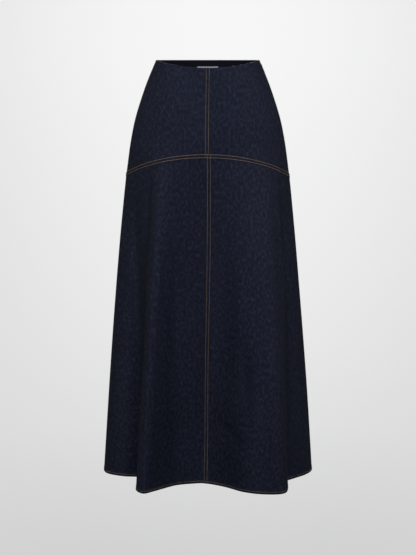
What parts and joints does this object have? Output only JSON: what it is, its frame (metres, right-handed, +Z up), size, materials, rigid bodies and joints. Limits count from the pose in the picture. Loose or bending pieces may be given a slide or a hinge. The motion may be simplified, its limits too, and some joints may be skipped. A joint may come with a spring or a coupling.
{
  "type": "denim skirt",
  "caption": "Long A-line denim skirt, filled out and empty: fitted hip yoke with an arched seam, centre-front seam, flared folded panels, open waist and hem, side zip.",
  "frame": {"origin": "centre of the waist opening, level with the back waist edge, where the wearer's waist holds the skirt", "axes": "+Z up, out of the waist; the front faces -Y and the wearer's left side is at +X"},
  "size_m": [0.4951, 0.4437, 0.9664],
  "materials": {
    "denim": "raw dark indigo twill",
    "facing_cotton": "matt black cotton",
    "label_satin": "pale woven satin",
    "zip_tape": "matt navy tape",
    "zip_metal": "navy enamel",
    "topstitch_thread": "golden tan polyester thread"
  },
  "bodies": {
    "skirt": {"front_yoke_right": "denim", "front_yoke_left": "denim", "back_yoke": "denim", "front_skirt_right": "denim", "front_skirt_left": "denim", "back_skirt": "denim", "front_facing": "facing_cotton", "back_facing": "facing_cotton", "back_label": "label_satin", "zip_tape_front": "zip_tape", "zip_tape_back": "zip_tape", "zip_slider": "zip_metal", "zip_bottom_stop": "zip_metal"},
    "pull_tab": {"zip_pull_tab": "zip_metal"}
  },
  "joints": [
    {"name": "pull_tab_swing", "type": "hinge", "parent": "skirt", "child": "pull_tab", "pos_m": [0.12418, 0.01696, -0.00928], "axis": [0.2239, -0.9746, 0], "range_deg": [0, 160]}
  ]
}
